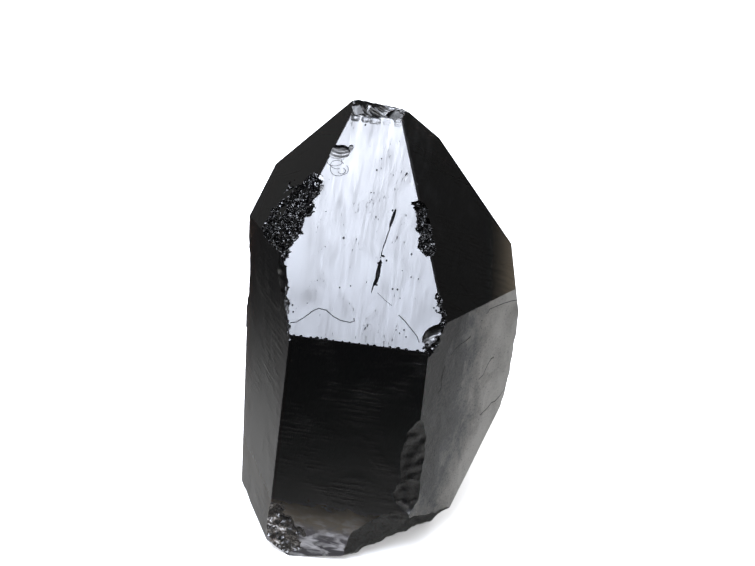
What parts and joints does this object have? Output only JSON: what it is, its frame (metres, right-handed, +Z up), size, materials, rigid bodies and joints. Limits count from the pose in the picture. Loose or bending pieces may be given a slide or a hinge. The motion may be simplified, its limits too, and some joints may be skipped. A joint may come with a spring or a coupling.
{
  "type": "raw morion quartz crystal",
  "caption": "Single smoky-black quartz crystal, a faceted prism under a pointed end, standing on its broken base as a display piece.",
  "frame": {"origin": "centre of the bounding box at the level of the table the crystal stands on", "axes": "+Z up, along the crystal's length but for its slight lean; the wide bright point face looks along -Y; +X is the viewer's right"},
  "size_m": [0.0342, 0.0318, 0.0464],
  "materials": {
    "morion": "natural crystal faces, vitreous, smoky brown-black and nearly opaque"
  },
  "bodies": {
    "root": {"crystal": "morion"}
  },
  "joints": []
}
